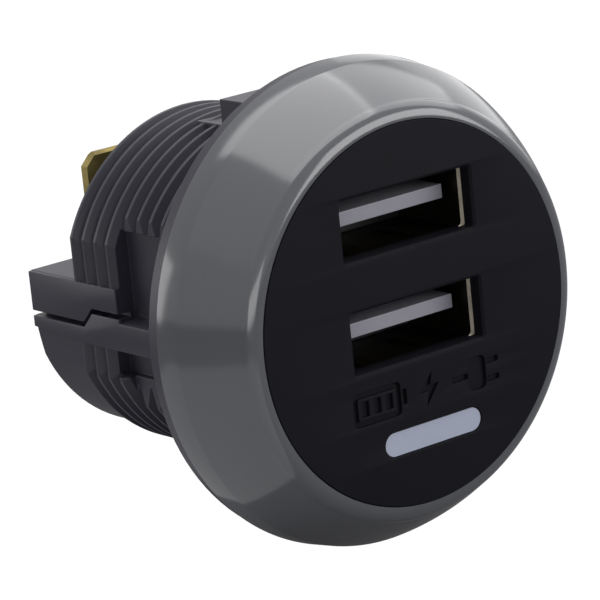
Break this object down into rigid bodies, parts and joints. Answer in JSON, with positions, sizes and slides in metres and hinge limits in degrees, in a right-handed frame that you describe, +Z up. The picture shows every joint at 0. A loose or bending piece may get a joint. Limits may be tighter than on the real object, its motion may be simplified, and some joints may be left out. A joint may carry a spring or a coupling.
{
  "type": "car dual usb socket",
  "caption": "Round panel socket with two stacked charging ports in a matte face, a glossy bezel, a ribbed barrel body with flats and two spade blades on its rear deck.",
  "frame": {"origin": "on the barrel's axis, in the rear face of the flange, where the socket sits on its panel", "axes": "+X right as seen from the front, +Z up, the face looks along -Y and the barrel runs back along +Y"},
  "size_m": [0.0374, 0.0322, 0.0374],
  "materials": {
    "bezel_plastic": "gloss",
    "face_plastic": "fine matte",
    "light_pipe_plastic": "frosted",
    "body_plastic": "satin",
    "receptacle_steel": "nickel plated",
    "insulator_plastic": "satin",
    "contact_gold": "plated",
    "board_laminate": "solder mask",
    "header_plastic": "moulded",
    "pin_tin": "tinned",
    "ferrite": "sintered",
    "copper_wire": "enamelled",
    "capacitor_can": "drawn",
    "capacitor_sleeve": "shrunk sleeve",
    "chip_epoxy": "moulded",
    "lamp_ceramic": "potted",
    "fuse_ceramic": "fired",
    "capacitor_ceramic": "fired",
    "blade_brass": "stamped"
  },
  "bodies": {
    "root": {"bezel_ring": "bezel_plastic", "blade_negative": "blade_brass", "blade_positive": "blade_brass", "board_header": "header_plastic", "ceramic_capacitor_1": "capacitor_ceramic", "ceramic_capacitor_2": "capacitor_ceramic", "ceramic_capacitor_3": "capacitor_ceramic", "ceramic_capacitor_4": "capacitor_ceramic", "charge_controller_chip": "chip_epoxy", "face_plate": "face_plastic", "fuse": "fuse_ceramic", "header_pin_1": "pin_tin", "header_pin_2": "pin_tin", "header_pin_3": "pin_tin", "indicator_lamp": "lamp_ceramic", "inductor_core": "ferrite", "inductor_winding": "copper_wire", "input_capacitor": "capacitor_sleeve", "light_pipe": "light_pipe_plastic", "lower_shell": "body_plastic", "output_capacitor": "capacitor_can", "power_board": "board_laminate", "rectifier_diode": "chip_epoxy", "regulator_chip": "chip_epoxy", "socket_board": "board_laminate", "terminal_carrier": "header_plastic", "upper_shell": "body_plastic", "usb_contact_lower_1": "contact_gold", "usb_contact_lower_2": "contact_gold", "usb_contact_lower_3": "contact_gold", "usb_contact_lower_4": "contact_gold", "usb_contact_upper_1": "contact_gold", "usb_contact_upper_2": "contact_gold", "usb_contact_upper_3": "contact_gold", "usb_contact_upper_4": "contact_gold", "usb_insulator_lower": "insulator_plastic", "usb_insulator_upper": "insulator_plastic", "usb_shell_lower": "receptacle_steel", "usb_shell_upper": "receptacle_steel"}
  },
  "joints": []
}
